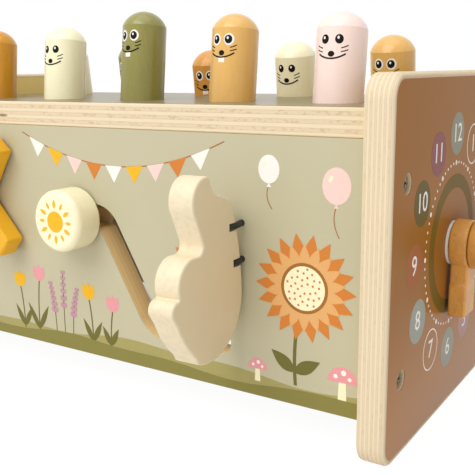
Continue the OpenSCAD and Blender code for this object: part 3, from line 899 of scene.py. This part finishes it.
def instance_ring(name, item, count, radius, every, growth, material):
    """Plain mesh of copies of one item around a circle, made by Geometry Nodes.

    Starting with the first, one in every so many is scaled by 1 + growth.
    """
    tree = bpy.data.node_groups.new(name, "GeometryNodeTree")
    tree.interface.new_socket("Geometry", in_out="OUTPUT", socket_type="NodeSocketGeometry")
    sockets = {}
    for label, kind in (("Count", "NodeSocketInt"), ("Radius", "NodeSocketFloat"),
                        ("Every", "NodeSocketInt"), ("Growth", "NodeSocketFloat"),
                        ("Item", "NodeSocketObject"), ("Ink", "NodeSocketMaterial")):
        sockets[label] = tree.interface.new_socket(label, in_out="INPUT", socket_type=kind).identifier
    made = {key: tree.nodes.new(kind) for key, kind in {
        "in": "NodeGroupInput", "out": "NodeGroupOutput", "circle": "GeometryNodeMeshCircle",
        "item": "GeometryNodeObjectInfo", "index": "GeometryNodeInputIndex", "turn": "ShaderNodeMath",
        "share": "ShaderNodeMath", "spin": "ShaderNodeCombineXYZ", "rest": "ShaderNodeMath",
        "large": "ShaderNodeMath", "size": "ShaderNodeMath", "flat": "ShaderNodeCombineXYZ",
        "copies": "GeometryNodeInstanceOnPoints", "real": "GeometryNodeRealizeInstances",
        "ink": "GeometryNodeSetMaterial"}.items()}
    for key, operation in (("share", "DIVIDE"), ("turn", "MULTIPLY"), ("rest", "MODULO"),
                           ("large", "LESS_THAN"), ("size", "MULTIPLY_ADD")):
        made[key].operation = operation
    made["turn"].inputs[1].default_value = 2 * math.pi
    made["large"].inputs[1].default_value = 0.5
    made["size"].inputs[2].default_value = 1.0
    made["flat"].inputs["Z"].default_value = 1.0

    def link(source, output, target, socket):
        tree.links.new(made[source].outputs[output], made[target].inputs[socket])

    for route in (("in", "Count", "circle", "Vertices"), ("in", "Radius", "circle", "Radius"),
                  ("in", "Item", "item", "Object"), ("index", 0, "share", 0), ("in", "Count", "share", 1),
                  ("share", 0, "turn", 0), ("turn", 0, "spin", "Z"), ("index", 0, "rest", 0),
                  ("in", "Every", "rest", 1), ("rest", 0, "large", 0), ("large", 0, "size", 0),
                  ("in", "Growth", "size", 1), ("size", 0, "flat", "X"), ("size", 0, "flat", "Y"),
                  ("circle", "Mesh", "copies", "Points"), ("item", "Geometry", "copies", "Instance"),
                  ("spin", 0, "copies", "Rotation"), ("flat", 0, "copies", "Scale"), ("copies", 0, "real", 0),
                  ("real", 0, "ink", 0), ("in", "Ink", "ink", "Material"), ("ink", 0, "out", 0)):
        link(*route)
    host = linked(name, bpy.data.meshes.new(name + "_host"))
    modifier = host.modifiers.new(name, "NODES")
    modifier.node_group = tree
    for label, value in (("Count", count), ("Radius", radius), ("Every", every), ("Growth", growth),
                         ("Item", item), ("Ink", material)):
        modifier[sockets[label]] = value
    evaluated = host.evaluated_get(bpy.context.evaluated_depsgraph_get())
    mesh = bpy.data.meshes.new_from_object(evaluated)
    bpy.data.objects.remove(host)
    bpy.data.node_groups.remove(tree)
    return mesh


def slab(name, outline, low, high):
    """Loose item: a flat outline in millimetres, thickened along Z, for Geometry Nodes to copy."""
    bm = bmesh.new()
    top = [bm.verts.new((x * MM, y * MM, high)) for x, y in outline]
    foot = [bm.verts.new((x * MM, y * MM, low)) for x, y in outline]
    bm.faces.new(top)
    bm.faces.new(list(reversed(foot)))
    for k in range(len(outline)):
        j = (k + 1) % len(outline)
        bm.faces.new((foot[k], foot[j], top[j], top[k]))
    mesh = bpy.data.meshes.new(name)
    bm.to_mesh(mesh)
    bm.free()
    return linked(name, mesh)


def ring_piece(name, outline, count, radius, every, times, material, laid, body):
    """A ring of printed marks, one in every so many of them so many times as large.

    The matrix laid takes it from the XY plane to a surface.
    """
    item = slab(name + "_item", outline, -SINK, INK + LAYER)
    mesh = instance_ring(name, item, count, radius * MM, every, times - 1, material)
    bpy.data.objects.remove(item)
    mesh.transform(laid)
    made = linked(name, mesh)
    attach(made, body)


def on_dial(x, y):
    """Matrix from a flat mesh's own plane to a spot on the dial, in millimetres."""
    columns = Matrix(((0, 0, 1), (1, 0, 0), (0, 1, 0))).to_4x4()
    return Matrix.Translation((END_HIGH.x, x * MM, y * MM)) @ columns


def number_mesh(number):
    """One number as a thin solid, its middle at the origin."""
    font = bpy.data.curves.new("number", "FONT")
    font.body = str(number)
    font.size = NUMBER_SIZE * MM
    font.align_x, font.align_y = "CENTER", "CENTER"
    font.extrude = (INK + 2 * LAYER + SINK) / 2
    font.offset = 0.02 * MM
    font.resolution_u = 6
    carrier = linked("number", font)
    evaluated = carrier.evaluated_get(bpy.context.evaluated_depsgraph_get())
    mesh = bpy.data.meshes.new_from_object(evaluated)
    bpy.data.objects.remove(carrier)
    mesh.transform(Matrix.Translation((0, 0, font.extrude - SINK)) @ NUMBER_STRETCH)
    return mesh


def dial_art():
    art = Print("dial_print", dial_place)
    art.ring(circle_sides(PRINT_Y, PRINT_Z, BAND_R, BAND_WIDTH), INKS["olive ring"], 0)
    numbers = bmesh.new()
    for hour, tone in enumerate(DISC_TONES, 1):
        turn = math.pi / 2 - hour * math.pi / 6
        x, y = PRINT_Y + NUMBER_R * math.cos(turn), PRINT_Z + NUMBER_R * math.sin(turn)
        if tone:
            art.fill(disc(x, y, DISC_R), ink(f"dial disc {hour}", tone), 0)
        else:
            ring = circle_sides(x, y, DISC_R - OPEN_RING_WIDTH / 2, OPEN_RING_WIDTH)
            art.ring(ring, INKS["white"], 0)
        mesh = number_mesh(hour)
        mesh.transform(on_dial(x, y))
        numbers.from_mesh(mesh)
        bpy.data.meshes.remove(mesh)
    art.done("bench")
    bmesh.ops.remove_doubles(numbers, verts=numbers.verts, dist=WELD)
    piece("dial_numbers", numbers, [INKS["white"]], "bench")
    ring_piece("minute_dots", disc(0, 0, MINUTE_DOT_R, steps=16), count=60, radius=MINUTE_R, every=5,
               times=1.8, material=INKS["white"], laid=on_dial(PRINT_Y, PRINT_Z), body="bench")


# Knob

def knob_art():
    """A sun: a disc with rays around it."""
    low, high = corner_pair("slider_knob")
    x, z = ((low.x + high.x) / 2 - MIDDLE) / MM, (low.z + high.z) / 2 / MM
    art = Print("knob_print", lambda a, b, lift: Vector((MIDDLE + a, low.y - lift, b)))
    art.fill(disc(x, z, 5.2), INKS["yellow"], 0)
    art.done("knob")
    columns = Matrix(((1, 0, 0), (0, 0, -1), (0, 1, 0))).to_4x4()
    laid = Matrix.Translation((MIDDLE + x * MM, low.y, z * MM)) @ columns
    ring_piece("knob_rays", leaf(-2.4, 0, 4.6, 2.0, 0.0), count=12, radius=8.9, every=2, times=0.8,
               material=INKS["yellow"], laid=laid, body="knob")


# Pegs

PEG_R = 11.0
PEG_BALL = 11.76      # radius of a peg's crown
ROW = 33.0            # how far the rows stand from the bench's middle, half-way through the board
EYE_DOWN = 13.0       # how far the eyes and the nose lie below a peg's top
NOSE_DOWN = 19.1
EYE_ASIDE = 3.2
# Each face's kind, and how far in degrees it is turned about its peg
FACES = {
    "front": (("whites", 0), ("plain", 0), ("whites", -6), ("whites", 0), ("plain", 3)),
    "back": (("plain", 0), ("whites", 0), ("whites", 10), ("plain", 0), ("whites", 0)),
}


def peg_axis(row, column):
    """Top of a peg's dome and the direction that the peg stands in."""
    node = f"{row}_peg_{column}"
    low, high = corner_pair(node)
    axis = Vector(JOINTS[f"{node}_slide"]["axis"]).normalized()
    side = -1 if row == "front" else 1
    foot = Vector(((low.x + high.x) / 2, side * ROW * MM, (BOARD_LOW.z + BOARD_HIGH.z) / 2))
    ball_z = high.z - PEG_BALL * MM
    return foot + axis * ((ball_z - foot.z) / axis.z + PEG_BALL * MM), axis


def peg_face(row, column, kind, twist):
    """Eyes, nose, mouth and whiskers, and for the kind with whites, white behind the eyes and at the chin."""
    node = f"{row}_peg_{column}"
    apex, axis = peg_axis(row, column)
    ahead = (Vector((0, -1, 0)) + axis * axis.y).normalized()
    aside = ahead.cross(axis) if ahead.cross(axis).x > 0 else axis.cross(ahead)

    def place(s, down, lift):
        angle = s / (PEG_R * MM) + math.radians(twist)
        out = ahead * math.cos(angle) + aside * math.sin(angle)
        return apex - axis * down + out * (PEG_R * MM + lift)

    art = Print(f"face_{node}", place)
    for side in (-1, 1):
        eye = side * EYE_ASIDE
        if kind == "whites":
            white = disc(eye + 0.25 * (side > 0), EYE_DOWN, 2.5, 2.7, steps=32)
            art.fill(white, INKS["white"], 0, rings=3)
        art.fill(disc(eye, EYE_DOWN, 1.8, 1.95, steps=28), INKS["black"], 1, rings=3)
        art.fill(disc(eye - 0.35, EYE_DOWN - 0.6, 0.5, 0.62, steps=14), INKS["white"], 2)
        for outer, inner in ((-3.6, -2.4), (-1.8, -0.9)):
            whisker = [(side * 7.2, NOSE_DOWN + outer), (side * 5.7, NOSE_DOWN + (outer + inner) / 2 + 0.1),
                       (side * 4.2, NOSE_DOWN + inner)]
            art.line(whisker, 0.46, INKS["black"], 0)
    if kind == "whites":
        chin = [[(0.4 * k - 1.6, NOSE_DOWN + y) for k in range(9)] for y in (4.2, 1.5)]
        art.band(chin, INKS["white"], 0)
    mouth = curve((-6.2, NOSE_DOWN - 0.1), (0, NOSE_DOWN + 3.9), (6.2, NOSE_DOWN - 0.1), 20)
    art.line(mouth, 0.66, INKS["black"], 2)
    art.fill(disc(0, NOSE_DOWN, 1.45, 1.2, steps=20), INKS["black"], 3, rings=2)
    art.done(node)


# Stage

FLOOR_REACH = 30.0
FLOOR_GLOW = 1.06
# The floor glows less behind the bench, where it shows through the wall's slot
SHADE_Y = 72 * MM
SHADE_HALF = 60 * MM
SHADE_SOFT = 40 * MM
SHADE_GLOW, FULL_GLOW = 0.15, 0.9
WORLD_LIGHT = 0.63
PICTURE = 475         # width of the picture and focal length, both in pixels
FOCAL = 765.6
SENSOR = 36           # in millimetres
CAMERA_PLACE = (MIDDLE + 0.2535, -0.3392, 0.1576)
CAMERA_DOWN, CAMERA_LEFT, CAMERA_ROLL = map(math.radians, (12.40, 32.69, -0.65))


def seen_directly(tree):
    """Light Path outputs that show the backdrop: camera, glossy and transmission rays."""
    path = tree.nodes.new("ShaderNodeLightPath")
    return [path.outputs[name] for name in ("Is Camera Ray", "Is Glossy Ray", "Is Transmission Ray")]


def floor_finish():
    f = Finish("pale floor", 0.9)
    f.shader.inputs["Base Color"].default_value = (0.86, 0.86, 0.85, 1)
    glow = f.tree.nodes.new("ShaderNodeEmission")
    glow.inputs["Strength"].default_value = FLOOR_GLOW
    blend = f.tree.nodes.new("ShaderNodeMixShader")
    camera, glossy, through = (Value(f, socket) for socket in seen_directly(f.tree))
    x, y, _ = f.xyz()
    half = ((END_HIGH.x - FAR_LOW.x) / 2, SHADE_HALF)
    off_shade = rounded_inset((x, y), (MIDDLE, SHADE_Y), half, SHADE_SOFT)
    glowing = off_shade.step(-SHADE_SOFT, 0.0) * (FULL_GLOW - SHADE_GLOW) + SHADE_GLOW
    f.feed(blend.inputs[0], camera.max(glossy).max(through) * glowing)
    f.tree.links.new(f.shader.outputs[0], blend.inputs[1])
    f.tree.links.new(glow.outputs[0], blend.inputs[2])
    f.tree.links.new(blend.outputs[0], f.tree.nodes["Material Output"].inputs[0])
    return f.material


def add_floor():
    mesh = bpy.data.meshes.new("floor")
    signs = ((-1, -1), (1, -1), (1, 1), (-1, 1))
    mesh.from_pydata([(a * FLOOR_REACH, b * FLOOR_REACH, 0) for a, b in signs], [], [(0, 1, 2, 3)])
    mesh.materials.append(floor_finish())
    floor = linked("floor", mesh)


def add_lamp(name, place, target, size, power):
    lamp = bpy.data.lights.new(name, "AREA")
    lamp.size, lamp.energy = size, power
    made = linked(name, lamp)
    made.location = place
    made.rotation_euler = (Vector(target) - Vector(place)).to_track_quat("-Z", "Y").to_euler()


def add_world():
    world = bpy.data.worlds.new("studio")
    bpy.context.scene.world = world
    world.use_nodes = True
    tree = world.node_tree
    light = tree.nodes["Background"]
    light.inputs[0].default_value = (1, 0.985, 0.96, 1)
    light.inputs[1].default_value = WORLD_LIGHT
    shown = tree.nodes.new("ShaderNodeBackground")
    shown.inputs[0].default_value = (1, 1, 1, 1)
    seen, *others = seen_directly(tree)
    for ray in others:
        either = tree.nodes.new("ShaderNodeMath")
        either.operation = "MAXIMUM"
        tree.links.new(seen, either.inputs[0])
        tree.links.new(ray, either.inputs[1])
        seen = either.outputs[0]
    blend = tree.nodes.new("ShaderNodeMixShader")
    tree.links.new(seen, blend.inputs[0])
    tree.links.new(light.outputs[0], blend.inputs[1])
    tree.links.new(shown.outputs[0], blend.inputs[2])
    tree.links.new(blend.outputs[0], tree.nodes["World Output"].inputs[0])


def add_camera():
    camera = bpy.data.cameras.new("camera")
    camera.sensor_width = SENSOR
    camera.lens = FOCAL / PICTURE * SENSOR
    camera.clip_start = 0.01
    made = linked("camera", camera)
    made.location = CAMERA_PLACE
    aim = Euler((math.pi / 2 - CAMERA_DOWN, 0, CAMERA_LEFT)).to_matrix()
    made.rotation_euler = (aim @ Matrix.Rotation(CAMERA_ROLL, 3, "Z")).to_euler()
    bpy.context.scene.camera = made


ease_edges()
hinge_cords()
front_art()
dial_art()
knob_art()
for row, faces in FACES.items():
    for column, (kind, twist) in enumerate(faces, 1):
        peg_face(row, column, kind, twist)
add_floor()
add_world()
add_lamp("key", (MIDDLE - 0.25, -1.25, 1.4), (MIDDLE, 0, 0.08), size=1.4, power=18)
add_lamp("top", (MIDDLE, -0.2, 1.5), (MIDDLE, 0, 0.1), size=1.2, power=5)
add_camera()
bpy.context.scene.view_settings.view_transform = "Standard"
